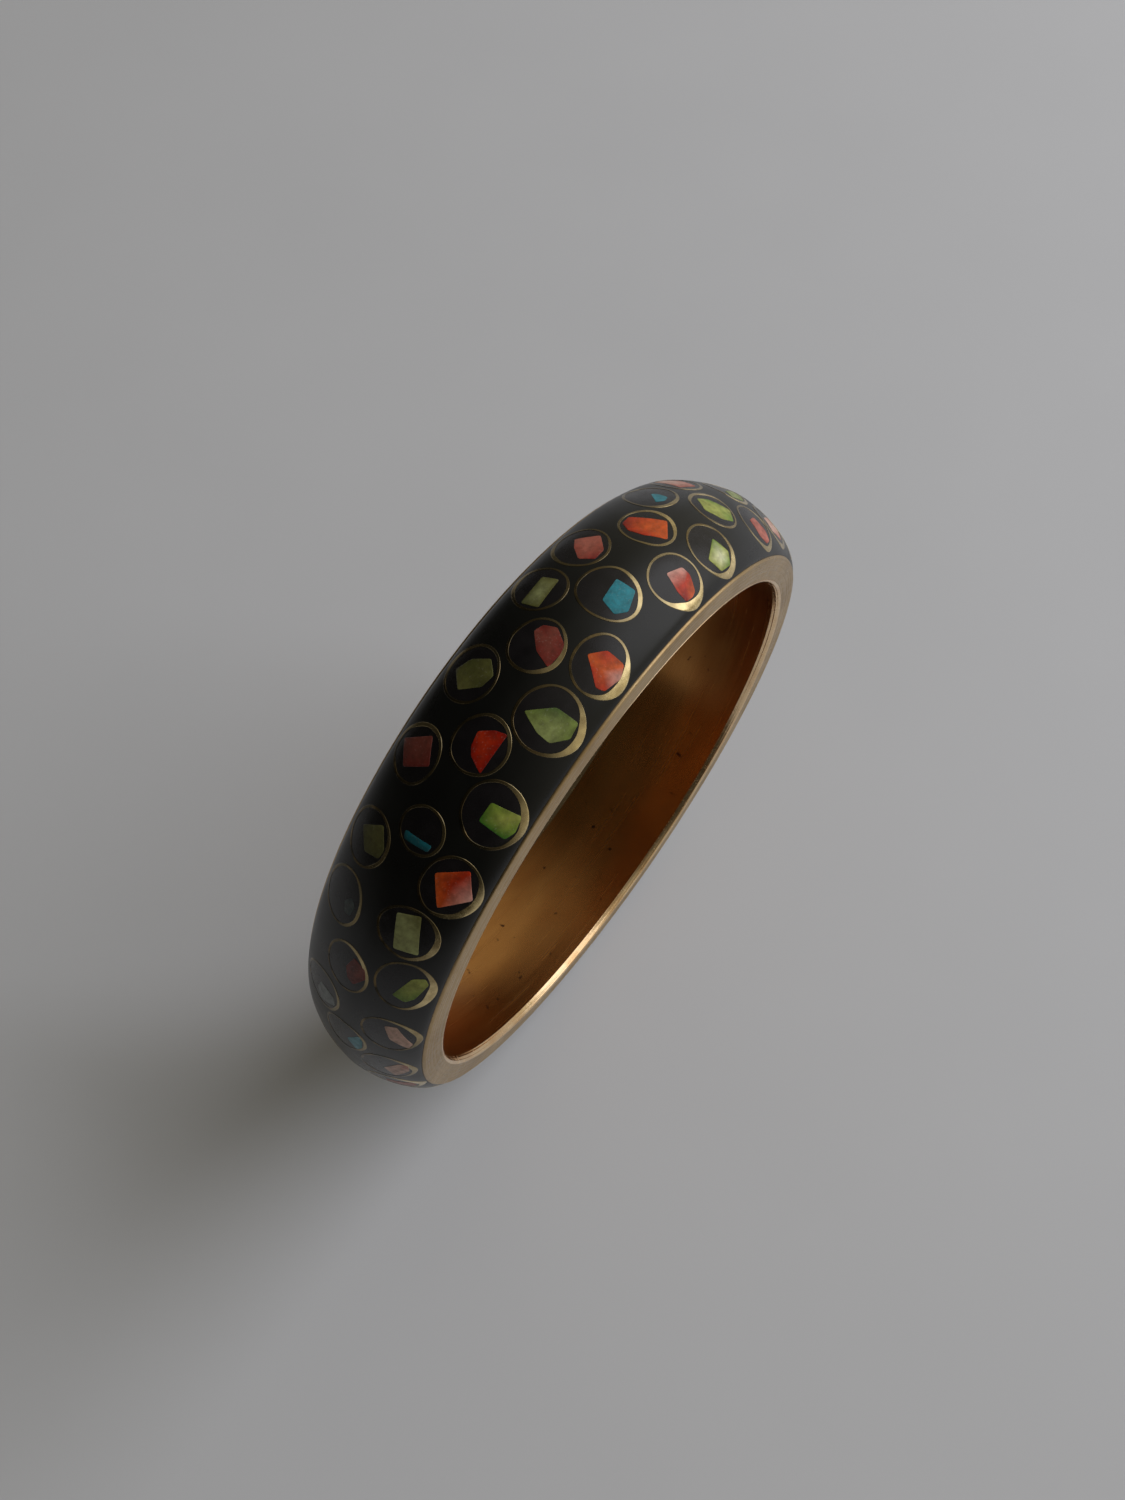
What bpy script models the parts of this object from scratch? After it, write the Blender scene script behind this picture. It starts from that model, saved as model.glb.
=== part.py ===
"""Bangle bracelet: a brass channel, a domed black resin band, brass tube cells and stone chips.

The bangle stands on its edge on z = 0. Its axis lies along Y and the front rim faces -Y.
Units are metres, +Z is up. Run with: blender --background --python part.py
"""

import math

import bmesh
import bpy
from mathutils import Matrix, Vector

MM = 0.001

# Driving dimensions
INNER_RADIUS = 31.75 * MM  # 63.5 mm inside, a medium wrist size
WIDTH = 15.4 * MM
CROWN_RADIUS = 38.5 * MM  # middle of the dome
DOME_EDGE_RADIUS = 35.4 * MM  # where the dome meets the rims
DOME_POWER = 1.6  # 2 would be an ellipse, 1 a roof
DOME_STATIONS = (7.05, 6.5, 5.4, 3.6, 1.2)  # mm from the middle, the last one is the crown land
LINER_WALL = 0.6 * MM
RIM_THICKNESS = 0.4 * MM
RIM_FACE_RADIUS = 34.95 * MM  # outer edge of the flat side face
RIM_INNER_BEVEL = 0.35 * MM
FIT_GAP = 0.05 * MM  # left between pieces that the real bangle has soldered or cast together

CELL_WALL = 0.35 * MM
CELL_DEPTH = 1.5 * MM
CHIP_DEPTH = 1.2 * MM
CUT_ABOVE = 1.0 * MM  # how far the cutters stand out of the dome

TURN_STEPS = 60
CELL_STEPS = 12
HALF_STEP = math.pi / TURN_STEPS  # puts a flat, not an edge, under the bangle

CHANNEL_HALF = WIDTH / 2 - RIM_THICKNESS - FIT_GAP
BAND_INNER_RADIUS = INNER_RADIUS + LINER_WALL + FIT_GAP

# One row for each cell on the side that faces up and left, from one end to the other.
# Ring: degrees round from the top towards +X, mm along the axis, length round the bangle and
# width along it in mm. Chip: stone, sides, mm from the ring's middle (round, along), length and
# width in mm, turn in degrees.
CELLS = (
    (-82.8, -4.4, 6.2, 5.2, "rose", 5, 0.0, -0.4, 3.8, 2.4, -20),
    (-76.8, 0.0, 5.6, 5.2, "turquoise", 5, -0.4, -0.6, 2.8, 2.2, -20),
    (-69.8, -4.3, 5.9, 5.4, "rose", 5, 0.0, -0.5, 3.5, 2.6, 20),
    (-69.8, 3.6, 5.8, 5.4, "slate", 5, -0.5, -0.4, 2.6, 2.6, -30),
    (-60.3, 1.2, 5.8, 5.4, "garnet", 4, 0.2, -0.5, 3.0, 2.1, 20),
    (-57.9, -4.3, 6.4, 5.4, "lime", 5, -0.2, -0.3, 4.2, 2.3, -30),
    (-50.4, 4.3, 6.0, 5.3, "slate", 5, -0.4, -1.1, 2.2, 1.4, 5),
    (-48.6, -2.9, 5.7, 5.6, "olive", 4, 0.0, 0.0, 3.7, 2.4, 10),
    (-40.2, 4.4, 5.8, 5.2, "olive", 5, 0.1, -0.2, 3.0, 2.9, 20),
    (-39.3, -4.3, 6.2, 5.5, "coral", 4, 0.2, -0.1, 3.1, 2.9, 35),
    (-34.3, 0.0, 4.6, 4.6, "turquoise", 4, -0.6, 0.0, 1.2, 2.4, 5),
    (-27.4, -4.3, 6.4, 5.4, "lime", 5, 0.0, -0.2, 2.6, 3.0, 10),
    (-26.4, 4.4, 5.9, 5.1, "garnet", 4, 0.0, 0.1, 3.1, 2.6, 15),
    (-20.6, -0.4, 5.8, 5.3, "coral", 5, 0.0, -0.3, 3.6, 2.4, 180),
    (-13.4, 4.3, 6.0, 5.4, "olive", 5, 0.0, 0.0, 3.8, 2.9, -35),
    (-12.9, -3.9, 6.4, 6.0, "jade", 5, 0.0, -0.1, 2.9, 3.8, 0),
    (-5.6, 1.1, 5.6, 5.4, "garnet", 5, 0.2, -0.3, 3.2, 2.9, 30),
    (-2.6, -4.3, 6.5, 5.4, "coral", 6, 0.0, -0.3, 3.6, 3.0, 20),
    (2.2, 4.4, 5.6, 5.2, "olive", 4, 0.0, -0.1, 3.3, 2.3, 0),
    (6.7, -1.1, 6.0, 6.2, "turquoise", 5, 0.1, -0.6, 3.2, 2.9, 15),
    (11.8, 4.3, 6.0, 5.4, "rose", 5, 0.2, -0.2, 3.6, 2.8, 40),
    (16.0, -4.3, 6.4, 5.4, "coral", 5, 0.4, -0.3, 2.5, 2.9, 0),
    (21.1, 1.0, 5.8, 5.7, "coral", 6, -0.1, 0.1, 3.3, 4.0, 10),
    (26.6, -4.3, 6.4, 5.4, "jade", 5, 0.2, -0.4, 3.2, 2.5, 0),
    (30.0, 3.9, 6.0, 5.4, "turquoise", 5, -0.3, -0.4, 2.1, 2.0, 0),
    (35.5, -1.3, 5.8, 5.4, "lime", 5, 0.0, -0.2, 3.8, 2.8, -35),
    (40.2, 4.2, 5.8, 5.2, "rose", 4, 0.0, -0.1, 3.3, 2.6, -10),
    (44.2, -4.5, 6.0, 5.0, "rose", 4, 0.0, -0.1, 3.3, 2.1, 20),
)

# Name: base colour, roughness, metallic
FINISHES = {
    "polished_brass": ((0.42, 0.20, 0.06), 0.22, 1.0),
    "turned_brass": ((0.50, 0.36, 0.20), 0.38, 1.0),
    "cell_brass": ((0.72, 0.52, 0.24), 0.30, 1.0),
    "black_resin": ((0.010, 0.010, 0.011), 0.12, 0.0),
    "coral": ((0.78, 0.16, 0.04), 0.35, 0.0),
    "rose": ((0.72, 0.28, 0.22), 0.35, 0.0),
    "garnet": ((0.45, 0.04, 0.03), 0.35, 0.0),
    "lime": ((0.42, 0.48, 0.10), 0.35, 0.0),
    "jade": ((0.50, 0.58, 0.32), 0.35, 0.0),
    "olive": ((0.38, 0.37, 0.14), 0.35, 0.0),
    "turquoise": ((0.05, 0.40, 0.48), 0.35, 0.0),
    "slate": ((0.16, 0.20, 0.25), 0.35, 0.0),
}


# ---------------------------------------------------------------- scene helpers
def clear_scene():
    for obj in list(bpy.data.objects):
        bpy.data.objects.remove(obj, do_unlink=True)


def new_collection(name):
    collection = bpy.data.collections.new(name)
    bpy.context.scene.collection.children.link(collection)
    return collection


def make_material(name):
    colour, roughness, metallic = FINISHES[name]
    material = bpy.data.materials.new(name)
    material.use_nodes = True
    shader = material.node_tree.nodes["Principled BSDF"]
    shader.inputs["Base Color"].default_value = (*colour, 1.0)
    shader.inputs["Roughness"].default_value = roughness
    shader.inputs["Metallic"].default_value = metallic
    return material


def add_object(name, mesh, collection, parent):
    obj = bpy.data.objects.new(name, mesh)
    collection.objects.link(obj)
    obj.parent = parent
    return obj


# ---------------------------------------------------------------- the dome
def dome_radius(offset):
    """Radius of the polished dome at a distance along the axis from the middle."""
    share = min(abs(offset) / CHANNEL_HALF, 1.0)
    rise = (1 - share ** DOME_POWER) ** (1 / DOME_POWER)
    return DOME_EDGE_RADIUS + (CROWN_RADIUS - DOME_EDGE_RADIUS) * rise


def round_axis(angle, offset, radius):
    """Point at an angle from the top, an offset along the axis and a radius."""
    return Vector((radius * math.sin(angle), -radius * math.cos(angle), offset))


# ---------------------------------------------------------------- turned pieces
def turned(name, section, material, collection, parent):
    """A closed section of (radius, height) points, turned round the bangle's axis."""
    mesh = bpy.data.meshes.new(name)
    count = len(section)
    points = [(radius, 0.0, height) for radius, height in section]
    mesh.from_pydata(points, [(i, (i + 1) % count) for i in range(count)], [])
    mesh.materials.append(material)
    obj = add_object(name, mesh, collection, parent)
    obj.rotation_euler.z = HALF_STEP
    screw = obj.modifiers.new("turn", "SCREW")
    screw.angle = 2 * math.pi
    screw.steps = TURN_STEPS
    screw.render_steps = TURN_STEPS
    screw.use_smooth_shade = True
    screw.use_merge_vertices = True
    screw.merge_threshold = 0.00001
    return obj


def liner_section():
    outer = INNER_RADIUS + LINER_WALL
    return [
        (outer, CHANNEL_HALF),
        (outer, -CHANNEL_HALF),
        (INNER_RADIUS, -CHANNEL_HALF),
        (INNER_RADIUS, CHANNEL_HALF),
    ]


def rim_section():
    """The front rim: a flat washer whose outer edge is ground down to the dome."""
    face = -WIDTH / 2
    back = face + RIM_THICKNESS
    return [
        (DOME_EDGE_RADIUS, back),
        (RIM_FACE_RADIUS, face),
        (INNER_RADIUS + RIM_INNER_BEVEL, face),
        (INNER_RADIUS, face + RIM_INNER_BEVEL),
        (INNER_RADIUS, back),
    ]


def band_section():
    half = [CHANNEL_HALF] + [station * MM for station in DOME_STATIONS]
    offsets = half + [-offset for offset in reversed(half)]
    dome = [(dome_radius(offset), offset) for offset in offsets]
    return dome + [(BAND_INNER_RADIUS, -CHANNEL_HALF), (BAND_INNER_RADIUS, CHANNEL_HALF)]


# ---------------------------------------------------------------- cells and chips
def bend(cell, x, y):
    """Angle and axial offset of a flat spot, x round the bangle and y along it."""
    return math.radians(cell[0]) + x / CROWN_RADIUS, cell[1] * MM + y


def add_ring(target, cell, grow, top, bottom):
    """Add an oval tube slice to a mesh. grow widens its wall on both sides."""
    length, width = cell[2:4]
    piece = bmesh.new()
    corners = [piece.verts.new(point) for point in ((2, 0, 1), (2, 0, -1), (1, 0, -1), (1, 0, 1))]
    edges = [piece.edges.new((corners[i], corners[(i + 1) % 4])) for i in range(4)]
    bmesh.ops.spin(piece, geom=corners + edges, cent=(0, 0, 0), axis=(0, 0, 1),
                   angle=2 * math.pi, steps=CELL_STEPS, use_merge=True)
    bmesh.ops.remove_doubles(piece, verts=piece.verts, dist=0.001)
    bmesh.ops.recalc_face_normals(piece, faces=piece.faces)
    for vert in piece.verts:
        distance = math.hypot(vert.co.x, vert.co.y)
        inset = -grow if distance > 1.5 else CELL_WALL + grow
        x = vert.co.x / distance * (length * MM / 2 - inset)
        y = vert.co.y / distance * (width * MM / 2 - inset)
        angle, offset = bend(cell, x, y)
        depth = top if vert.co.z > 0 else bottom
        vert.co = round_axis(angle, offset, dome_radius(offset) - depth)
    append(target, piece)


def add_chip(target, cell, grow, top, bottom):
    """Add a chip, a straight prism with a flat base and its top in the dome, to a mesh."""
    sides, shift_x, shift_y, length, width, turn = cell[5:]
    piece = bmesh.new()
    bmesh.ops.create_cone(piece, cap_ends=True, segments=sides, radius1=1, radius2=1, depth=2)
    bmesh.ops.poke(piece, faces=[face for face in piece.faces if face.normal.z > 0.5])
    bmesh.ops.rotate(piece, verts=piece.verts, matrix=Matrix.Rotation(math.pi / sides, 3, "Z"))
    reach_x = max(vert.co.x for vert in piece.verts)
    reach_y = max(vert.co.y for vert in piece.verts)
    spin = Matrix.Rotation(math.radians(turn), 2)
    base_radius = dome_radius((cell[1] + shift_y) * MM) - bottom
    for vert in piece.verts:
        x = vert.co.x / reach_x * (length * MM / 2 + grow)
        y = vert.co.y / reach_y * (width * MM / 2 + grow)
        spot = spin @ Vector((x, y)) + Vector((shift_x, shift_y)) * MM
        angle, offset = bend(cell, spot.x, spot.y)
        radius = dome_radius(offset) - top if vert.co.z > 0 else base_radius
        vert.co = round_axis(angle, offset, radius)
    append(target, piece)


def append(target, piece):
    mesh = bpy.data.meshes.new("piece")
    piece.to_mesh(mesh)
    piece.free()
    target.from_mesh(mesh)
    bpy.data.meshes.remove(mesh)


def solid(name, add, cells, grow, top, bottom, collection, parent):
    """One object holding the rings or the chips of the given cells."""
    shape = bmesh.new()
    for cell in cells:
        add(shape, cell, grow, top, bottom)
    mesh = bpy.data.meshes.new(name)
    shape.to_mesh(mesh)
    shape.free()
    return add_object(name, mesh, collection, parent)


def cut(obj, cutter):
    boolean = obj.modifiers.new(cutter.name, "BOOLEAN")
    boolean.operation = "DIFFERENCE"
    boolean.object = cutter


# ---------------------------------------------------------------- assembly
def build():
    clear_scene()
    parts = new_collection("bangle_bracelet")
    cutters = new_collection("cutters")
    materials = {name: make_material(name) for name in FINISHES}

    # The axis of the bangle: local Z lies along world +Y, and local -Y points up.
    axis = bpy.data.objects.new("bangle_axis", None)
    parts.objects.link(axis)
    land_radius = dome_radius(DOME_STATIONS[-1] * MM)
    axis.location.z = land_radius * math.cos(HALF_STEP)
    axis.rotation_euler.x = -math.pi / 2

    turned("inner_liner", liner_section(), materials["polished_brass"], parts, axis)
    turned("front_rim", rim_section(), materials["turned_brass"], parts, axis)
    back_rim = turned("back_rim", rim_section(), materials["turned_brass"], parts, axis)
    back_rim.rotation_euler.x = math.pi
    band = turned("resin_band", band_section(), materials["black_resin"], parts, axis)

    grooves = solid("ring_grooves", add_ring, CELLS, FIT_GAP, -CUT_ABOVE, CELL_DEPTH + FIT_GAP,
                    cutters, axis)
    pockets = solid("chip_pockets", add_chip, CELLS, FIT_GAP, -CUT_ABOVE, CHIP_DEPTH + FIT_GAP,
                    cutters, axis)
    for cutter in (grooves, pockets):
        cutter.hide_render = True
        cutter.display_type = "WIRE"
        cut(band, cutter)

    for number, cell in enumerate(CELLS, start=1):
        ring = solid(f"cell_ring_{number:02d}", add_ring, [cell], 0, 0, CELL_DEPTH, parts, axis)
        ring.data.materials.append(materials["cell_brass"])
        chip = solid(f"stone_chip_{number:02d}", add_chip, [cell], 0, 0, CHIP_DEPTH, parts, axis)
        chip.data.materials.append(materials[cell[4]])


build()
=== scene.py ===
"""Bangle bracelet: the looks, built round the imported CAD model.

The bangle stands on its edge on z = 0 with its axis along Y. Angles run round that axis from the
top towards +X, in degrees. Offsets run along Y, in millimetres from the bangle's middle.
"""

import math
import random

import bmesh
import bpy
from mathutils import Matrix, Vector


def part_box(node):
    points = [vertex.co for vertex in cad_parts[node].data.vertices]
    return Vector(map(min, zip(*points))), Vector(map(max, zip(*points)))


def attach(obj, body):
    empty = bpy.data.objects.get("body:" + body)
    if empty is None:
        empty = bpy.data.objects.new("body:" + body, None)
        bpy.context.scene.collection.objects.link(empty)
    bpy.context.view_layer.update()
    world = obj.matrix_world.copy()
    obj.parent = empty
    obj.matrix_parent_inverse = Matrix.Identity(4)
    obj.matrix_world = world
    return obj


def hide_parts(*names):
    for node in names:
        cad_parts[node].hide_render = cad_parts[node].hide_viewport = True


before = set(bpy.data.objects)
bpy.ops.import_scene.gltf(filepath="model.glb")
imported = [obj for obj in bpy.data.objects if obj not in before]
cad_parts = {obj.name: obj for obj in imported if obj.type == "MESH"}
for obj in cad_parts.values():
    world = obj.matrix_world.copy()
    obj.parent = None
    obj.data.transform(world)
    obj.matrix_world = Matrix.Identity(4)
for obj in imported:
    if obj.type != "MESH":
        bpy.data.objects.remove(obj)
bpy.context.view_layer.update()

MM = 0.001

# ---------------------------------------------------------------- sizes, in mm
band_low, band_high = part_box("resin_band")
rim_low, rim_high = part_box("front_rim")
AXIS_HEIGHT = (band_low.z + band_high.z) / 2 / MM
PROUD = 0.06  # room under the CAD crown for rings and chips, which stand out of the resin
CROWN_RADIUS = (band_high.z - band_low.z) / 2 / MM - PROUD
RESIN_HALF = (band_high.y - band_low.y) / 2 / MM
HALF_WIDTH = -rim_low.y / MM
RIM_BACK = -rim_high.y / MM  # the rim's inner side, against the resin
INNER_RADIUS = 31.75
LINER_WALL = 0.6
RIM_FACE_RADIUS = 34.78
RIM_EDGE = 0.3  # radius of the rim's rounded outer edge
RIM_OUTER = RIM_FACE_RADIUS + RIM_EDGE
DOME_HALF = HALF_WIDTH - RIM_EDGE  # the resin runs on to the rim's rounded edge
DOME_EDGE_RADIUS = RIM_OUTER + 0.02  # a hair above the rim's edge
DOME_POWER = 1.6  # below 2: its sides are straighter than an ellipse's
CELL_WALL = 0.26
CELL_DEPTH = 1.5
CHIP_DEPTH = 1.2

# ---------------------------------------------------------------- the cells
# CAD number (0 where CAD has no such cell), angle, offset, length round the bangle, width along
# it, side where the wall is thick and gets a painted highlight (degrees from +angle towards
# +offset), how thick (mm more), stone, tone at the chip's heart and at each corner (d dark,
# m middle, l light, w washed out), chip corners in mm from the cell's middle.
CELLS = (
    (1, -82.8, -4.5, 6.2, 5.5, -70, 0.2, "rose", "wwwlww",
     ((-2.4, -0.8), (-0.2, -2.1), (1.6, -2.0), (1.8, -1.2), (-0.2, 0.2))),
    (2, -76.8, 0.0, 5.6, 5.2, -90, 0.1, "turquoise", "wwllww",
     ((-1.9, -1.5), (-0.9, -2.1), (1.0, -2.1), (1.5, -1.7), (-0.3, -0.4))),
    (3, -70.4, -4.5, 5.9, 5.5, -60, 0.2, "rose", "wwwwww",
     ((-1.8, -1.9), (-0.9, -2.2), (1.9, -0.6), (1.5, 0.5), (-0.6, -0.2))),
    (4, -69.8, 3.6, 5.8, 5.4, -90, 0.1, "slate", "wwwwww",
     ((-2.2, -0.2), (-0.7, -2.1), (0.5, -1.8), (0.6, 0.2), (-1.1, 0.7))),
    (5, -60.3, 1.2, 5.8, 5.4, -40, 0.2, "garnet", "lmmlmmm",
     ((-1.3, -1.3), (0.3, -2.35), (1.4, -2.0), (1.9, -0.6), (0.2, 0.0), (-1.0, -0.5))),
    (6, -57.9, -4.5, 6.4, 5.5, -95, 0.40, "lime", "lmmlllm",
     ((-1.95, -0.6), (-1.1, -1.3), (1.2, -1.9), (1.9, -1.5), (1.4, -0.5), (-1.5, 0.65))),
    (7, -50.4, 4.3, 6.0, 5.3, -90, 0.1, "slate", "lmlmll",
     ((-1.1, -1.6), (0.2, -1.8), (0.7, -1.1), (-0.1, -0.5), (-1.2, -0.8))),
    (8, -48.6, -3.05, 5.7, 5.9, -100, 0.3, "olive", "wwlww",
     ((-1.7, -1.6), (2.35, -0.5), (1.55, 1.55), (-2.1, 0.6))),
    (9, -40.2, 4.4, 5.8, 5.2, -90, 0.1, "olive", "lmmmlm",
     ((-1.3, -0.3), (-0.8, -2.0), (0.2, -2.15), (2.0, -0.9), (0.5, 1.2))),
    (10, -39.3, -4.5, 6.2, 5.5, -115, 0.4, "coral", "mlwml",
     ((-2.25, 0.15), (-0.2, -2.05), (2.4, -0.8), (0.7, 1.65))),
    (11, -34.3, 0.0, 4.6, 4.6, -90, 0.05, "turquoise", "mdmmd",
     ((-1.35, -1.4), (-0.65, -1.5), (-0.75, 1.3), (-1.5, 1.1))),
    (12, -27.4, -4.5, 6.4, 5.6, -60, 0.35, "lime", "ldmlmd",
     ((-1.4, -1.8), (-0.4, -2.2), (1.2, -2.0), (0.9, 0.6), (-1.05, 0.7))),
    (13, -26.4, 4.4, 5.9, 5.1, 10, 0.15, "garnet", "lmmll",
     ((-1.75, 0.4), (-0.25, -1.9), (2.1, -0.55), (0.3, 2.0))),
    (14, -20.6, -0.4, 5.8, 5.3, -30, 0.1, "coral", "mdddmdd",
     ((-2.05, -1.4), (2.0, -1.5), (1.7, -0.4), (0.85, 0.8), (-0.5, 0.55), (-1.2, 0.1))),
    (15, -13.4, 4.3, 6.0, 5.4, 60, 0.1, "olive", "mldmmdm",
     ((-1.9, 0.1), (-0.6, -1.7), (0.8, -2.0), (2.0, -0.8), (1.1, 0.9), (-0.4, 1.6))),
    (16, -12.9, -4.0, 6.4, 6.3, -80, 0.4, "jade", "llmmdml",
     ((-1.6, -1.1), (-0.2, -2.2), (1.4, -2.0), (1.3, 0.1), (-0.6, 2.1), (-1.5, 0.2))),
    (17, -5.6, 0.8, 5.6, 5.4, -110, 0.2, "garnet", "lmmmlmlm",
     ((-1.15, -2.05), (0.6, -2.2), (1.4, -1.9), (2.35, -0.5), (1.9, 0.7), (1.0, 1.05),
      (-0.5, -0.35))),
    (18, -2.6, -4.6, 6.3, 5.2, -90, 0.45, "coral", "lmmwlmlm",
     ((-1.9, -0.8), (-1.6, -1.5), (0.4, -1.9), (1.6, -1.4), (1.5, 0.3), (0.0, 1.4),
      (-0.9, 0.3))),
    (19, 2.2, 4.4, 5.6, 5.2, 90, 0.1, "olive", "wmlmd",
     ((-2.0, -1.3), (1.57, -1.0), (1.25, 0.6), (-2.25, 0.45))),
    (20, 6.7, -1.1, 6.0, 6.2, -40, 0.2, "turquoise", "lmmllm",
     ((-1.5, -1.6), (-0.35, -2.35), (1.85, -1.6), (1.6, 0.35), (-1.1, 0.0))),
    (21, 11.8, 4.3, 6.0, 5.4, 150, 0.1, "rose", "lmdmllm",
     ((-1.7, -0.8), (-0.95, -2.1), (0.5, -2.05), (2.2, -0.6), (0.75, 1.2), (-0.5, 0.45))),
    (22, 16.0, -4.5, 6.4, 5.5, -100, 0.45, "coral", "mllmwwmd",
     ((0.3, -1.95), (1.0, -1.75), (1.8, -0.5), (1.7, 0.4), (-0.35, 0.95), (-0.9, -0.8),
      (-0.8, -1.85))),
    (23, 21.1, 1.0, 5.8, 5.7, -10, 0.3, "coral", "lllmdmm",
     ((-0.25, -2.3), (2.0, -0.86), (0.17, 2.2), (-1.15, 2.1), (-1.9, 1.0), (-1.6, -0.46))),
    (24, 26.6, -4.5, 6.4, 5.5, -60, 0.40, "lime", "wlmlml",
     ((-1.0, -2.0), (0.9, -2.05), (1.9, -1.1), (1.1, 0.65), (-1.7, -0.6))),
    (25, 30.0, 3.9, 6.0, 5.4, -100, 0.2, "turquoise", "lmlmml",
     ((-1.3, -1.1), (-0.3, -1.6), (0.7, -1.36), (0.8, -0.2), (0.4, 0.25))),
    (26, 35.5, -1.3, 5.8, 5.4, 70, 0.2, "lime", "llmlmll",
     ((-0.6, -1.5), (0.9, -2.2), (2.3, -1.0), (0.75, 1.13), (-0.45, 1.8), (-1.7, 0.2))),
    (27, 40.2, 4.2, 5.8, 5.2, -90, 0.1, "rose", "wlllww",
     ((-1.9, -1.1), (0.5, -1.8), (1.7, 0.2), (0.8, 1.9), (-0.9, 1.9))),
    (28, 44.2, -4.6, 6.0, 5.2, -90, 0.2, "rose", "llmlmlm",
     ((-1.2, -1.2), (-0.3, -1.95), (0.9, -1.85), (1.5, -0.8), (0.7, 0.8), (-0.9, 0.6))),
    (0, 48.5, 0.6, 5.8, 5.2, -90, 0.2, "jade", "llmmlm",
     ((-1.9, -1.3), (0.2, -2.1), (1.9, -1.2), (1.2, -0.1), (-1.2, -0.2))),
    (0, 54.0, -4.5, 6.0, 5.2, -90, 0.2, "rose", "wwlwlw",
     ((-2.0, -0.9), (0.3, -1.8), (2.0, -0.6), (1.0, 0.9), (-1.4, 0.7))),
)
# The hidden part of the band repeats the pattern, turned round by these angles.
REPEATS = ((148.0, -1), (294.0, 1), (135.0, 1))  # degrees, side: -1 swaps front and back
STONE_CYCLE = ("coral", "lime", "turquoise", "garnet", "jade", "rose", "olive", "slate")
STONE_STRIDE = 3
CELL_CLEARANCE = 0.15  # the least gap beside a repeated cell, mm

# Each stone's dark, middle, light and washed-out tone. TONES names them by letter.
STONES = {
    "coral": ((0.26, 0.006, 0.001), (0.46, 0.028, 0.004), (0.62, 0.095, 0.012), (0.66, 0.33, 0.26)),
    "rose": ((0.24, 0.02, 0.015), (0.34, 0.065, 0.04), (0.46, 0.13, 0.085), (0.62, 0.38, 0.29)),
    "garnet": ((0.09, 0.008, 0.006), (0.19, 0.022, 0.015), (0.26, 0.06, 0.04), (0.4, 0.2, 0.16)),
    "lime": ((0.04, 0.15, 0.012), (0.15, 0.25, 0.022), (0.33, 0.36, 0.07), (0.76, 0.75, 0.46)),
    "jade": ((0.08, 0.13, 0.03), (0.16, 0.21, 0.04), (0.25, 0.29, 0.09), (0.78, 0.74, 0.50)),
    "olive": ((0.08, 0.085, 0.02), (0.12, 0.12, 0.03), (0.17, 0.165, 0.045), (0.35, 0.37, 0.15)),
    "turquoise": ((0.006, 0.09, 0.11), (0.01, 0.19, 0.23), (0.025, 0.25, 0.30), (0.13, 0.38, 0.46)),
    "slate": ((0.02, 0.03, 0.035), (0.05, 0.075, 0.08), (0.09, 0.12, 0.12), (0.30, 0.33, 0.33)),
}
TONES = "dmlw"


# ---------------------------------------------------------------- the dome
def dome_radius(offset):
    """Radius of the polished resin at an offset, in mm."""
    share = min(abs(offset) / DOME_HALF, 1.0)
    rise = (1 - share ** DOME_POWER) ** (1 / DOME_POWER)
    return DOME_EDGE_RADIUS + (CROWN_RADIUS - DOME_EDGE_RADIUS) * rise


def point(angle, offset, radius):
    """Point in the row frame, from an angle in radians and mm."""
    x = radius * math.sin(angle)
    z = AXIS_HEIGHT + radius * math.cos(angle)
    return Vector((x, offset, z)) * MM


def on_dome(cell, u, v, height):
    """Bend a flat spot of a cell (u round the bangle, v along it, mm) onto the dome."""
    angle = math.radians(cell["angle"]) + u / CROWN_RADIUS
    offset = cell["offset"] + v
    return point(angle, offset, dome_radius(offset) + height)


# ---------------------------------------------------------------- node helpers
def new_material(name):
    material = bpy.data.materials.new(name)
    material.use_nodes = True
    return material, material.node_tree.nodes["Principled BSDF"]


def add_node(material, kind, **settings):
    node = material.node_tree.nodes.new(kind)
    for key, value in settings.items():
        setattr(node, key, value)
    return node


def link(material, output, socket):
    material.node_tree.links.new(output, socket)


def coordinates(material, scale=(1, 1, 1)):
    """Object coordinates in metres, stretched by a scale."""
    source = add_node(material, "ShaderNodeTexCoord")
    mapping = add_node(material, "ShaderNodeMapping")
    mapping.inputs["Scale"].default_value = scale
    link(material, source.outputs["Object"], mapping.inputs["Vector"])
    return mapping.outputs["Vector"]


def noise(material, vector, scale, detail=3.0, roughness=0.5):
    node = add_node(material, "ShaderNodeTexNoise")
    node.inputs["Scale"].default_value = scale
    node.inputs["Detail"].default_value = detail
    node.inputs["Roughness"].default_value = roughness
    link(material, vector, node.inputs["Vector"])
    return node.outputs["Fac"]


def map_range(material, value, source, target):
    node = add_node(material, "ShaderNodeMapRange")
    node.inputs["From Min"].default_value, node.inputs["From Max"].default_value = source
    node.inputs["To Min"].default_value, node.inputs["To Max"].default_value = target
    link(material, value, node.inputs["Value"])
    return node.outputs["Result"]


def mix_colour(material, factor, first, second, blend="MIX"):
    """Mix two colours. Each is an RGB triple or an output socket."""
    node = add_node(material, "ShaderNodeMix", data_type="RGBA", blend_type=blend)
    link(material, factor, node.inputs["Factor"])
    for name, colour in (("A", first), ("B", second)):
        socket = [s for s in node.inputs if s.name == name and s.type == "RGBA"][0]
        if isinstance(colour, tuple):
            socket.default_value = (*colour, 1.0)
        else:
            link(material, colour, socket)
    return [s for s in node.outputs if s.type == "RGBA"][0]


def bump(material, shader, height, strength, distance):
    node = add_node(material, "ShaderNodeBump")
    node.inputs["Strength"].default_value = strength
    node.inputs["Distance"].default_value = distance
    link(material, height, node.inputs["Height"])
    link(material, node.outputs["Normal"], shader.inputs["Normal"])


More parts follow.
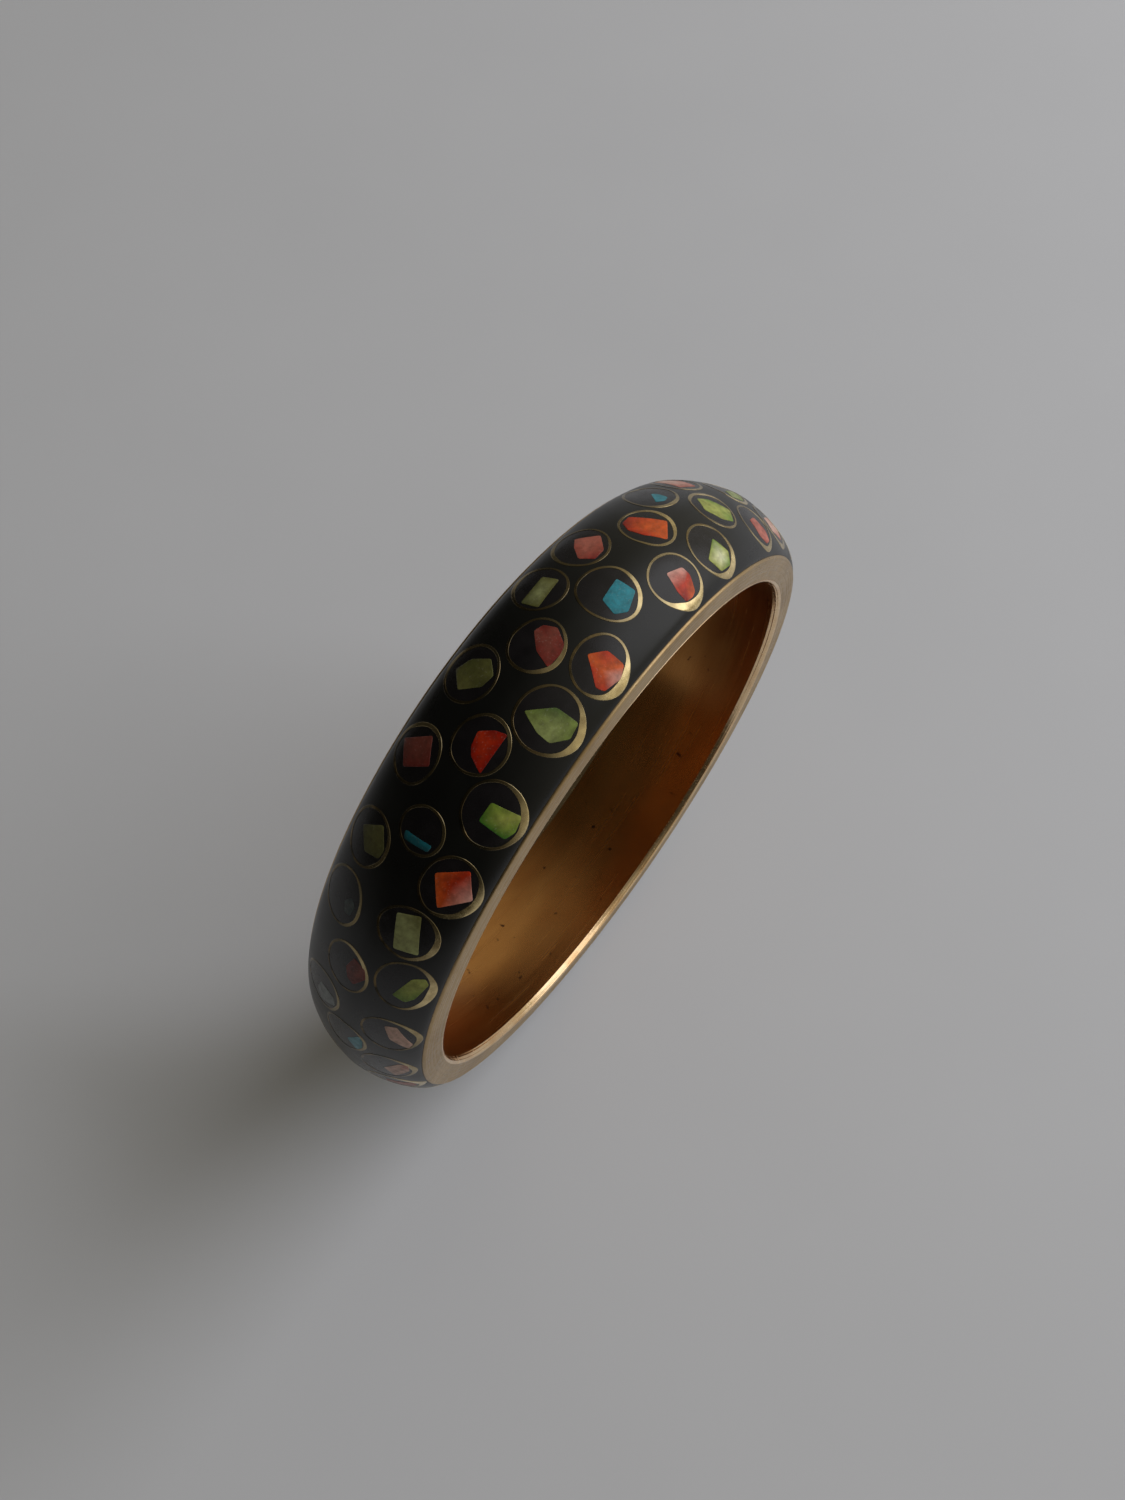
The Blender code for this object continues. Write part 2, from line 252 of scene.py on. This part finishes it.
# ---------------------------------------------------------------- materials
def resin_material():
    """Black cast resin, polished, with faint haze and fine polishing marks."""
    material, shader = new_material("black_resin")
    haze = noise(material, coordinates(material), 260, 4)
    marks = noise(material, coordinates(material, (900, 5200, 900)), 1, 3)
    colour = mix_colour(material, haze, (0.0025, 0.0025, 0.0022), (0.006, 0.006, 0.005))
    link(material, colour, shader.inputs["Base Color"])
    link(material, map_range(material, haze, (0.3, 0.7), (0.26, 0.36)), shader.inputs["Roughness"])
    shader.inputs["IOR"].default_value = 1.42
    bump(material, shader, marks, 0.04, 0.00002)
    return material


def fill_material():
    """The resin inside the cells: a touch lighter and redder, and a little smoother."""
    material, shader = new_material("cell_fill")
    cloud = noise(material, coordinates(material), 700, 4)
    colour = mix_colour(material, cloud, (0.003, 0.0025, 0.003), (0.010, 0.008, 0.009))
    link(material, colour, shader.inputs["Base Color"])
    link(material, map_range(material, cloud, (0.3, 0.7), (0.20, 0.32)), shader.inputs["Roughness"])
    shader.inputs["IOR"].default_value = 1.45
    bump(material, shader, cloud, 0.10, 0.00005)
    return material


def brass_material(name, light, dark, rough, streaks, streak_scale, tarnish_scale):
    """Brass with streaks left by turning or polishing, and patches of tarnish."""
    material, shader = new_material(name)
    lines = noise(material, coordinates(material, streaks), streak_scale, 3)
    patches = noise(material, coordinates(material), tarnish_scale, 4, 0.6)
    patch = map_range(material, patches, (0.42, 0.68), (0.0, 1.0))
    colour = mix_colour(material, patch, light, dark)
    link(material, colour, shader.inputs["Base Color"])
    shader.inputs["Metallic"].default_value = 1.0
    link(material, map_range(material, lines, (0.3, 0.7), rough), shader.inputs["Roughness"])
    bump(material, shader, lines, 0.25, 0.00002)
    return material


def cell_brass_material():
    """Brass of the cells: its tone, with painted shade and painted highlights, is stored in the mesh,
    with patches of tarnish over it.
    """
    material, shader = new_material("cell_brass")
    tone = add_node(material, "ShaderNodeAttribute", attribute_name="tone")
    grain = noise(material, coordinates(material), 2500, 3)
    patches = noise(material, coordinates(material), 900, 4)
    tarnish = map_range(material, patches, (0.4, 0.7), (0.0, 0.6))
    colour = mix_colour(material, tarnish, tone.outputs["Color"], (0.26, 0.18, 0.08))
    link(material, colour, shader.inputs["Base Color"])
    shader.inputs["Metallic"].default_value = 1.0
    link(material, map_range(material, grain, (0.3, 0.7), (0.16, 0.30)), shader.inputs["Roughness"])
    bump(material, shader, grain, 0.2, 0.00002)
    return material


def liner_material():
    """Polished inside of the bangle: warm brass with lines round it, patches and dark specks."""
    material, shader = new_material("polished_brass")
    lines = noise(material, coordinates(material, (40, 2600, 40)), 1, 4)
    patches = noise(material, coordinates(material, (1, 2.4, 1)), 75, 3)
    specks = noise(material, coordinates(material), 900, 2, 0.4)
    patch = map_range(material, patches, (0.35, 0.65), (0.0, 1.0))
    speck = map_range(material, specks, (0.70, 0.76), (0.0, 1.0))
    metal = mix_colour(material, patch, (0.58, 0.275, 0.085), (0.45, 0.19, 0.055))
    colour = mix_colour(material, speck, metal, (0.10, 0.04, 0.02))
    link(material, colour, shader.inputs["Base Color"])
    shader.inputs["Metallic"].default_value = 1.0
    link(material, map_range(material, lines, (0.3, 0.7), (0.22, 0.28)), shader.inputs["Roughness"])
    bump(material, shader, lines, 0.05, 0.00002)
    return material


def stone_material(name):
    """Opaque mottled stone. Its tone is stored at the mesh's points."""
    material, shader = new_material(name)
    tone = add_node(material, "ShaderNodeAttribute", attribute_name="tone")
    grain = noise(material, coordinates(material), 1600, 5, 0.6)
    veins = noise(material, coordinates(material), 5200, 3, 0.5)
    shade = map_range(material, grain, (0.35, 0.7), (0.0, 0.45))
    darker = mix_colour(material, shade, tone.outputs["Color"], (0.02, 0.01, 0.005))
    light = map_range(material, veins, (0.60, 0.75), (0.0, 0.10))
    colour = mix_colour(material, light, darker, (0.85, 0.80, 0.70))
    link(material, colour, shader.inputs["Base Color"])
    link(material, map_range(material, grain, (0.3, 0.7), (0.30, 0.46)), shader.inputs["Roughness"])
    shader.inputs["IOR"].default_value = 1.36
    shader.inputs["Coat Weight"].default_value = 0.1
    shader.inputs["Coat Roughness"].default_value = 0.2
    bump(material, shader, grain, 0.15, 0.00004)
    return material


def floor_material():
    material, shader = new_material("floor_paper")
    mottle = noise(material, coordinates(material), 30, 3)
    colour = mix_colour(material, mottle, (0.60, 0.60, 0.605), (0.63, 0.63, 0.635))
    link(material, colour, shader.inputs["Base Color"])
    shader.inputs["Roughness"].default_value = 0.55
    return material


# ---------------------------------------------------------------- mesh helpers
TURNED_SHARP = 40  # degrees: edges of the turned pieces that are steeper stay sharp
CELL_SHARP = 25  # the same for rings and chips


def add_piece(name, mesh, material, nodes=()):
    """A finished piece of the object: it rides on the bangle and stands for CAD nodes."""
    mesh.materials.append(material)
    piece = bpy.data.objects.new(name, mesh)
    bpy.context.scene.collection.objects.link(piece)
    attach(piece, "root")
    if nodes:
        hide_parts(*nodes)
    return piece


def bridge(shape, loops):
    """Join each closed loop of vertices to the next one, and the last to the first."""
    for step, here in enumerate(loops):
        there = loops[(step + 1) % len(loops)]
        for i in range(len(here)):
            j = (i + 1) % len(here)
            shape.faces.new((here[i], there[i], there[j], here[j]))


def to_mesh(shape, name, sharp_angle):
    """A smooth mesh from a bmesh, which is freed. Edges above the angle stay sharp."""
    mesh = bpy.data.meshes.new(name)
    bmesh.ops.recalc_face_normals(shape, faces=shape.faces)
    shape.to_mesh(mesh)
    shape.free()
    mesh.shade_smooth()
    mesh.set_sharp_from_angle(angle=math.radians(sharp_angle))
    return mesh


# ---------------------------------------------------------------- turned pieces
SWEEP_STEPS = 300
RIM_LINES = (32.2, 32.7, 33.3, 33.8, 34.3, 34.65)  # radii of the lines left by turning, mm
RIM_LINE_DEPTH = 0.05
RIM_LINE_WIDTH = 0.09
RIM_LINE_WANDER = 0.08  # how far a line strays from its radius, mm
RIM_SAMPLE = 0.05  # mm between the points across the rim's face
EDGE_STEPS = 5
POLISHED_RADIUS = INNER_RADIUS + 0.02  # the wavy inside swings about this radius
LIP_START = 6.9  # offset where the liner begins to turn over the rim, mm
LIP_REACH = 0.5  # how far the lip spreads over the rim, mm
LIP_CONE = 0.55  # share of that reach that is a straight cone
LIP_ROOT = 0.04  # how far the lip goes on below its edge, mm
LIP_BACK = 0.08  # how far its edge lies behind the rim's face, mm
LIP_STEPS = 18
LIP_RIPPLES = ((0.014, 17, 1.4, 3), (0.010, 29, -1.1, 2))  # mm high, radians across, sway, sways round
LINER_STEPS = 24
LINER_WAVES = ((0.010, 5, 1.0), (0.008, 11, -0.7))  # mm high, waves round the bangle, slant
LINER_CALM = 1.5  # width at each edge where the waves die down, mm
BAND_STEPS = 48
BAND_GAP = 0.05  # between the resin and the liner, mm
BAND_TUCK = 0.01  # how far the dome's edge hangs over the rim's edge, mm


def swept(name, section_at):
    """A mesh swept round the axis. section_at(angle) gives a closed loop of (radius, offset)."""
    shape = bmesh.new()
    loops = []
    for step in range(SWEEP_STEPS):
        angle = 2 * math.pi * step / SWEEP_STEPS
        spots = [point(angle, offset, radius) for radius, offset in section_at(angle)]
        loops.append([shape.verts.new(spot) for spot in spots])
    bridge(shape, loops)
    return to_mesh(shape, name, TURNED_SHARP)


def rim_face_depth(radius, angle):
    """How far the turned face lies behind its plane, in mm."""
    depth = 0.0
    for number, line in enumerate(RIM_LINES):
        wander = RIM_LINE_WANDER * math.sin(angle * (number % 3 + 1) + 2.0 * number)
        away = (radius - line - wander) / RIM_LINE_WIDTH
        depth += RIM_LINE_DEPTH * math.exp(-away * away)
    return depth


def rim_section(side):
    """The rim's section at an angle. side is -1 for the front rim and 1 for the back one."""
    def section(angle):
        start = INNER_RADIUS + LIP_REACH
        samples = int((RIM_FACE_RADIUS - start) / RIM_SAMPLE)
        points = [(start, RIM_BACK)]
        for i in range(samples + 1):
            radius = start + (RIM_FACE_RADIUS - start) * i / samples
            points.append((radius, HALF_WIDTH - rim_face_depth(radius, angle)))
        for i in range(1, EDGE_STEPS + 1):
            turn = math.pi / 2 * i / EDGE_STEPS
            drop = RIM_EDGE * (1 - math.cos(turn)) + rim_face_depth(RIM_FACE_RADIUS, angle)
            points.append((RIM_FACE_RADIUS + RIM_EDGE * math.sin(turn), HALF_WIDTH - drop))
        points.append((RIM_OUTER, RIM_BACK))
        return [(radius, side * offset) for radius, offset in points]
    return section


def lip_ripple(share, angle):
    """How far the lip's surface stands out at a share of its width, in mm."""
    ripple = 0.0
    for high, across, sway, sways in LIP_RIPPLES:
        ripple += high * math.sin(share * across + sway * math.sin(sways * angle))
    return ripple * math.sin(math.pi * share)


def lip_section(side):
    """The burnished lip where the liner is turned over the rim: a steep cone, then a rounding."""
    def section(angle):
        points = [(INNER_RADIUS + LINER_WALL, LIP_START), (POLISHED_RADIUS, LIP_START)]
        for i in range(1, LIP_STEPS + 1):
            share = i / LIP_STEPS
            reach = LIP_REACH * (LIP_CONE * share + (1 - LIP_CONE) * share ** 4)
            fall = 1 - (1 - share) ** 1.6
            offset = LIP_START + (HALF_WIDTH - LIP_START) * fall
            points.append((POLISHED_RADIUS + reach + lip_ripple(share, angle), offset))
        root = POLISHED_RADIUS + LIP_REACH + LIP_ROOT
        points += [(root, HALF_WIDTH - LIP_BACK), (root, RIM_BACK)]
        return [(radius, side * offset) for radius, offset in points]
    return section


def liner_section(angle):
    """The liner's section: a thin wall with a hand-polished, very slightly wavy inside."""
    inner = []
    for i in range(LINER_STEPS + 1):
        offset = -LIP_START + 2 * LIP_START * i / LINER_STEPS
        wave = 0.0
        for high, waves, slant in LINER_WAVES:
            wave += high * math.sin(waves * angle + slant * offset)
        calm = min(1.0, (LIP_START - abs(offset)) / LINER_CALM)
        inner.append((POLISHED_RADIUS + wave * calm, offset))
    outer = INNER_RADIUS + LINER_WALL
    return inner + [(outer, LIP_START), (outer, -LIP_START)]


def band_section(angle):
    """The resin's section, the same at every angle: the dome, and the channel's inside."""
    dome = []
    for i in range(BAND_STEPS + 1):
        offset = -DOME_HALF * math.cos(math.pi * i / BAND_STEPS)
        dome.append((dome_radius(offset), offset))
    inner = INNER_RADIUS + LINER_WALL + BAND_GAP
    back = [(RIM_OUTER, DOME_HALF - BAND_TUCK), (RIM_OUTER, RESIN_HALF), (inner, RESIN_HALF)]
    front = [(radius, -offset) for radius, offset in reversed(back)]
    return dome + back + front


# ---------------------------------------------------------------- cells
def make_cell(row):
    number, angle, offset, length, width, thick_side, thick, stone, tones, outline = row
    return {
        "number": number, "angle": angle, "offset": offset, "length": length, "width": width,
        "thick_side": math.radians(thick_side), "thick": thick, "stone": stone,
        "tones": tones, "outline": outline,
    }


def cell_gap(first, second):
    """Rough gap between two cells in mm, taking each as a circle of its mean size."""
    turn = (first["angle"] - second["angle"] + 180) % 360 - 180
    across = math.radians(turn) * CROWN_RADIUS
    distance = math.hypot(across, first["offset"] - second["offset"])
    reach = sum(cell["length"] + cell["width"] for cell in (first, second)) / 4
    return distance - reach


def repeated_cell(row, turn, side, stone):
    """A cell round the back: the row's cell turned round, with another stone."""
    cell = make_cell(row)
    cell["number"] = 0
    cell["angle"] += turn
    cell["offset"] *= side
    cell["stone"] = stone
    cell["outline"] = [(u, v * side) for u, v in cell["outline"]]
    if side < 0:
        cell["outline"].reverse()
    return cell


def all_cells():
    """The cells of the visible side, and the pattern repeated where it fits round the back."""
    cells = [make_cell(row) for row in CELLS]
    for turn, side in REPEATS:
        for index, row in enumerate(CELLS):
            stone = STONE_CYCLE[(index * STONE_STRIDE + len(cells)) % len(STONE_CYCLE)]
            cell = repeated_cell(row, turn, side, stone)
            if all(cell_gap(cell, other) > CELL_CLEARANCE for other in cells):
                cells.append(cell)
    return cells


# ---------------------------------------------------------------- rings
RING_STEPS = 48
RING_ROUND = 0.03  # width of the rounding along the ring's top edges
RING_PROUD = 0.03  # how far the ring's top stands out of the resin
RING_TOPS = 6  # steps across the ring's top
RING_OVAL = 0.022  # share of its radius by which a ring is pressed out of true
RING_DENT = 0.014  # the same, at three places round the ring
RING_NICK = 0.08  # how uneven the thin wall is, as a share
RING_NICKS = 7  # thick places in it round the ring
THICKEST = 0.45  # the most that any wall is thickened, mm
# Ring colours: the first is painted shade on thin walls, the last a painted highlight.
SHADED_BRASS = Vector((0.09, 0.078, 0.05))
DULL_BRASS = Vector((0.40, 0.32, 0.18))
HIGHLIGHT_BRASS = Vector((1.0, 0.80, 0.42))
DARKEST_SHADE_ANGLE = -75  # painted shade on thin walls is darkest here, degrees
FULLY_LIT_ANGLE = 20  # and has no painted shade from here on
BACK_ROW = 2  # offset in mm beyond which a cell is in the back row
# share of the light that back-row rings keep; the rest is painted shade
BACK_ROW_LIGHT = 0.5
LIT_SIDE = math.radians(-50)  # the side of each ring with no painted shade
EVEN_ANGLE = 12  # beyond this angle a ring's sides differ less in painted shade
EVEN_SIDE_SHADE = 0.35  # how much painted shade darkens the side away from the lit side
# painted shade on the side away from the light, at or below that angle
UNEVEN_SIDE_SHADE = 0.8


def ring_shaded_colour(cell):
    """Tone of a ring's thin wall, darkened by painted shade low down on the left and in the back row.
    """
    lit = (cell["angle"] - DARKEST_SHADE_ANGLE) / (FULLY_LIT_ANGLE - DARKEST_SHADE_ANGLE)
    lit = min(1.0, max(0.0, lit))
    # back-row rings get more painted shade
    if cell["offset"] > BACK_ROW:
        lit *= BACK_ROW_LIGHT
    return SHADED_BRASS.lerp(DULL_BRASS, lit)


def thickening(cell, turn):
    """How much of its extra thickness a ring's wall has at a turn, from 0 to 1."""
    return max(0.0, math.cos(turn - cell["thick_side"])) ** 2


def ring_painted_light_tone(cell, turn):
    """Tone of a ring at a turn: a painted highlight where its wall is thick, painted shade on the side
    away from the lit side.
    """
    side_shade = EVEN_SIDE_SHADE if cell["angle"] > EVEN_ANGLE else UNEVEN_SIDE_SHADE
    # painted shade on the side of the ring away from the light
    shaded = ring_shaded_colour(cell) * (1 - side_shade * (1 - math.cos(turn - LIT_SIDE)) / 2)
    # the thick side of the wall gets a painted highlight
    return shaded.lerp(HIGHLIGHT_BRASS, thickening(cell, turn) * cell["thick"] / THICKEST)


def ring_section(wall):
    """A ring's section as insets and heights in mm, rounded along the top."""
    top = wall - 2 * RING_ROUND
    section = [(0.0, -CELL_DEPTH), (0.0, 0.0)]
    section += [(RING_ROUND + top * i / RING_TOPS, RING_PROUD) for i in range(RING_TOPS + 1)]
    return section + [(wall, 0.0), (wall, -CELL_DEPTH)]


def ring_shape(shape, cell, chance):
    """Add one oval tube slice, bent a little by hand."""
    tone = shape.verts.layers.float_color["tone"]
    phase = [chance.uniform(0, 2 * math.pi) for _ in range(3)]
    loops = []
    for step in range(RING_STEPS):
        turn = 2 * math.pi * step / RING_STEPS
        bend = RING_OVAL * math.sin(2 * turn + phase[0])
        bend += RING_DENT * math.sin(3 * turn + phase[1])
        nick = RING_NICK * math.sin(RING_NICKS * turn + phase[2])
        wall = CELL_WALL * (1 + nick) + cell["thick"] * thickening(cell, turn)
        a = cell["length"] / 2 * (1 + bend)
        b = cell["width"] / 2 * (1 + bend)
        # each point's colour holds the ring's painted shade and painted highlight
        colour = ring_painted_light_tone(cell, turn)
        loop = []
        for inset, height in ring_section(wall):
            spot = ((a - inset) * math.cos(turn), (b - inset) * math.sin(turn))
            made = shape.verts.new(on_dome(cell, *spot, height))
            made[tone] = (*colour, 1.0)
            loop.append(made)
        loops.append(loop)
    bridge(shape, loops)


# ---------------------------------------------------------------- the resin inside the cells
FILL_RINGS = 6
FILL_STEPS = 36
FILL_INSET = 0.1  # how far its edge lies inside the ring's outer edge, mm
FILL_EDGE = 0.002  # height of its edge above the band, mm
FILL_BULGE = 0.012  # how much higher its middle is
FILL_UNDER = -0.2


def fill_shape(shape, cell):
    """Add the resin inside a cell: a thin lens, a hair above the band."""
    a = cell["length"] / 2 - FILL_INSET
    b = cell["width"] / 2 - FILL_INSET
    middle = shape.verts.new(on_dome(cell, 0, 0, FILL_EDGE + FILL_BULGE))
    previous = None
    for ring in range(1, FILL_RINGS + 1):
        share = ring / FILL_RINGS
        height = FILL_EDGE + FILL_BULGE * (1 - share * share)
        loop = []
        for step in range(FILL_STEPS):
            turn = 2 * math.pi * step / FILL_STEPS
            spot = (a * share * math.cos(turn), b * share * math.sin(turn))
            loop.append(shape.verts.new(on_dome(cell, *spot, height)))
        for step in range(FILL_STEPS):
            after = (step + 1) % FILL_STEPS
            if previous is None:
                shape.faces.new((middle, loop[step], loop[after]))
            else:
                shape.faces.new((previous[step], loop[step], loop[after], previous[after]))
        previous = loop
    under = shape.verts.new(on_dome(cell, 0, 0, FILL_UNDER))
    for step in range(FILL_STEPS):
        shape.faces.new((previous[step], under, previous[(step + 1) % FILL_STEPS]))


# ---------------------------------------------------------------- chips
CORNER = 0.20  # length of the rounding at a chip's corners, mm
CHIP_CUTS = 3
HEART_SHIFT = 0.3  # the most that a chip's heart lies off its middle, mm
TONE_SPREAD = (0.9, 1.1)  # how much darker or lighter a spot is made
# Levels of a chip, its top, shoulder and base: height in mm, and how far it is spread out.
CHIP_LEVELS = {0: (0.035, 1.0), -1: (0.01, 1.02), -2: (-CHIP_DEPTH, 1.02)}
CHIP_POINTS = 1000  # more than any chip has


def rounded(corners):
    """Three spots for each corner of an outline, to round it off."""
    spots = []
    for i, corner in enumerate(corners):
        before = (corners[i - 1] - corner).normalized() * CORNER + corner
        after = (corners[(i + 1) % len(corners)] - corner).normalized() * CORNER + corner
        spots += [before, (before + 2 * corner + after) / 4, after]
    return spots


def chip_top(piece, cell, chance):
    """Make a chip's flat top, with a tone at its heart and at each corner. Gives its heart."""
    tone = piece.verts.layers.float_color.new("tone")
    tones = [Vector(STONES[cell["stone"]][TONES.index(letter)]) for letter in cell["tones"]]
    corners = [Vector(corner) for corner in cell["outline"]]
    heart = sum(corners, Vector((0, 0))) / len(corners)
    shift = [chance.uniform(-HEART_SHIFT, HEART_SHIFT) for _ in range(2)]
    heart += Vector(shift)

    def vert(spot, colour):
        made = piece.verts.new((*spot, 0))
        made[tone] = (*(colour * chance.uniform(*TONE_SPREAD)), 1.0)
        return made

    heart_vert = vert(heart, tones[0])
    loop = [vert(spot, tones[1 + i // 3]) for i, spot in enumerate(rounded(corners))]
    for i, corner in enumerate(loop):
        piece.faces.new((heart_vert, corner, loop[(i + 1) % len(loop)]))
    bmesh.ops.subdivide_edges(piece, edges=piece.edges, cuts=CHIP_CUTS, use_grid_fill=True)
    return heart


def chip_sides(piece):
    """Carry a flat chip's outline down to the levels below, and close it with a base."""
    rim = [edge for edge in piece.edges if edge.is_boundary]
    for level in (-1, -2):
        result = bmesh.ops.extrude_edge_only(piece, edges=rim)
        for item in result["geom"]:
            if isinstance(item, bmesh.types.BMVert):
                item.co.z = level
        rim = [item for item in result["geom"] if isinstance(item, bmesh.types.BMEdge)]
    bmesh.ops.holes_fill(piece, edges=rim)


def face_order(face):
    """A number that no other face of the chip has, from the face's three lowest indices."""
    lowest = sorted(corner.index for corner in face.verts)[:3]
    return sum(index * CHIP_POINTS ** place for place, index in enumerate(lowest))


def chip_shape(shape, cell, chance):
    """Add one chip, ground nearly flush with the band."""
    piece = bmesh.new()
    heart = chip_top(piece, cell, chance)
    chip_sides(piece)
    piece.verts.index_update()
    piece.faces.sort(key=face_order)  # the extrusion leaves them in a new order on each run
    for corner in piece.verts:
        height, spread = CHIP_LEVELS[round(corner.co.z)]
        u = heart.x + (corner.co.x - heart.x) * spread
        v = heart.y + (corner.co.y - heart.y) * spread
        corner.co = on_dome(cell, u, v, height)
    bmesh.ops.recalc_face_normals(piece, faces=piece.faces)
    mesh = bpy.data.meshes.new("chip")
    piece.to_mesh(mesh)
    piece.free()
    shape.from_mesh(mesh)
    bpy.data.meshes.remove(mesh)


# ---------------------------------------------------------------- the object
def cell_piece(name, add_shape, cells, chance, material, nodes=()):
    """One piece with the rings or the chips of some cells: add_shape makes each of them."""
    shape = bmesh.new()
    shape.verts.layers.float_color.new("tone")
    for cell in cells:
        add_shape(shape, cell, chance)
    add_piece(name, to_mesh(shape, name, CELL_SHARP), material, nodes)


def build_body():
    resin = resin_material()
    rim_brass = brass_material("turned_brass", (0.55, 0.395, 0.215), (0.44, 0.30, 0.15),
                               (0.26, 0.42), (1, 1, 1), 1500, 160)
    add_piece("dome", swept("dome", band_section), resin, ["resin_band"])
    add_piece("sleeve", swept("sleeve", liner_section), liner_material(),
              ["inner_liner"])
    for name, node, side in (("front_face", "front_rim", -1), ("back_face", "back_rim", 1)):
        add_piece(name, swept(name, rim_section(side)), rim_brass, [node])
    lip_brass = brass_material("lip_brass", (0.95, 0.70, 0.42), (0.80, 0.52, 0.27),
                               (0.16, 0.30), (1, 1, 1), 1800, 220)
    for name, side in (("front_lip", -1), ("back_lip", 1)):
        add_piece(name, swept(name, lip_section(side)), lip_brass)


def build_cells():
    """Rings and chips one by one where CAD has them, the others joined, and the fills."""
    chance = random.Random(7)
    cells = all_cells()
    brass = cell_brass_material()
    stones = {stone: stone_material(f"{stone}_stone") for stone in STONES}
    for cell in cells:
        number = cell["number"]
        if number:
            cell_piece(f"ring_{number:02d}", ring_shape, [cell], chance, brass,
                       [f"cell_ring_{number:02d}"])
            cell_piece(f"chip_{number:02d}", chip_shape, [cell], chance, stones[cell["stone"]],
                       [f"stone_chip_{number:02d}"])
    others = [cell for cell in cells if not cell["number"]]
    cell_piece("rings_round_the_back", ring_shape, others, chance, brass)
    for stone in STONES:
        same = [cell for cell in others if cell["stone"] == stone]
        if same:
            cell_piece(f"{stone}_chips_round_the_back", chip_shape, same, chance,
                       stones[stone])
    fills = bmesh.new()
    for cell in cells:
        fill_shape(fills, cell)
    add_piece("cell_fills", to_mesh(fills, "cell_fills", TURNED_SHARP), fill_material())


# ---------------------------------------------------------------- stage, light and camera
FLOOR_REACH = 1.5  # metres from the middle of the floor to each side
LAMPS = (("window", 3.3, True), ("window_fill", 9.0, False))  # watts, seen in reflections
LAMP_DIRECTION = (0.70, -0.47, 0.53)
LAMP_DISTANCE = 1.1  # metres
LAMP_SIZE = 1.1
LAMP_COLOUR = (0.90, 0.92, 1.0)
BRIGHT_SIDE = (0.80, -0.55, 0.10)  # where the room is bright
ROOM_FACING = (-0.2, 0.9)  # how directly a direction faces that side: at the darkest, brightest
ROOM_STRENGTH = (0.035, 0.46)
ROOM_COLOUR = (1.0, 0.94, 0.76, 1.0)
CAMERA_FROM_MIDDLE = (-45.6, -33.1, 131.9)  # mm from the bangle's middle
AIM_FROM_MIDDLE = (3.0, 3.0, 2.0)
FOCAL_LENGTH = 29.8
SENSOR = 36.0


def build_floor():
    shape = bmesh.new()
    bmesh.ops.create_grid(shape, x_segments=8, y_segments=8, size=FLOOR_REACH)
    mesh = bpy.data.meshes.new("floor")
    shape.to_mesh(mesh)
    shape.free()
    mesh.materials.append(floor_material())
    floor = bpy.data.objects.new("floor", mesh)
    bpy.context.scene.collection.objects.link(floor)


def add_lamp(name, power, seen_in_gloss):
    light = bpy.data.lights.new(name, "AREA")
    light.shape = "DISK"
    light.size = LAMP_SIZE
    light.energy = power
    light.color = LAMP_COLOUR
    lamp = bpy.data.objects.new(name, light)
    target = Vector((0, 0, AXIS_HEIGHT * MM))
    lamp.location = target + Vector(LAMP_DIRECTION).normalized() * LAMP_DISTANCE
    lamp.rotation_euler = (target - lamp.location).to_track_quat("-Z", "Y").to_euler()
    lamp.visible_glossy = seen_in_gloss
    bpy.context.scene.collection.objects.link(lamp)


def build_world():
    """A dim room: dark overhead and to the left, brighter towards the window."""
    world = bpy.data.worlds.new("room")
    world.use_nodes = True
    nodes = world.node_tree.nodes
    links = world.node_tree.links
    background = nodes["Background"]
    source = nodes.new("ShaderNodeTexCoord")
    facing = nodes.new("ShaderNodeVectorMath")
    facing.operation = "DOT_PRODUCT"
    facing.inputs[1].default_value = Vector(BRIGHT_SIDE).normalized()
    links.new(source.outputs["Generated"], facing.inputs[0])
    strength = nodes.new("ShaderNodeMapRange")
    strength.interpolation_type = "SMOOTHSTEP"
    strength.inputs["From Min"].default_value = ROOM_FACING[0]
    strength.inputs["From Max"].default_value = ROOM_FACING[1]
    strength.inputs["To Min"].default_value = ROOM_STRENGTH[0]
    strength.inputs["To Max"].default_value = ROOM_STRENGTH[1]
    links.new(facing.outputs["Value"], strength.inputs["Value"])
    links.new(strength.outputs["Result"], background.inputs["Strength"])
    background.inputs["Color"].default_value = ROOM_COLOUR
    bpy.context.scene.world = world


def build_light():
    for name, power, seen_in_gloss in LAMPS:
        add_lamp(name, power, seen_in_gloss)
    build_world()
    bpy.context.scene.view_settings.view_transform = "Standard"


def build_camera():
    middle = Vector((0, 0, AXIS_HEIGHT * MM))
    camera_data = bpy.data.cameras.new("camera")
    camera_data.sensor_width = SENSOR
    camera_data.lens = FOCAL_LENGTH
    camera_data.clip_start = 0.01
    camera = bpy.data.objects.new("camera", camera_data)
    camera.location = middle + Vector(CAMERA_FROM_MIDDLE) * MM
    aim = middle + Vector(AIM_FROM_MIDDLE) * MM
    camera.rotation_euler = (aim - camera.location).to_track_quat("-Z", "Y").to_euler()
    bpy.context.scene.collection.objects.link(camera)
    bpy.context.scene.camera = camera


build_body()
build_cells()
build_floor()
build_light()
build_camera()
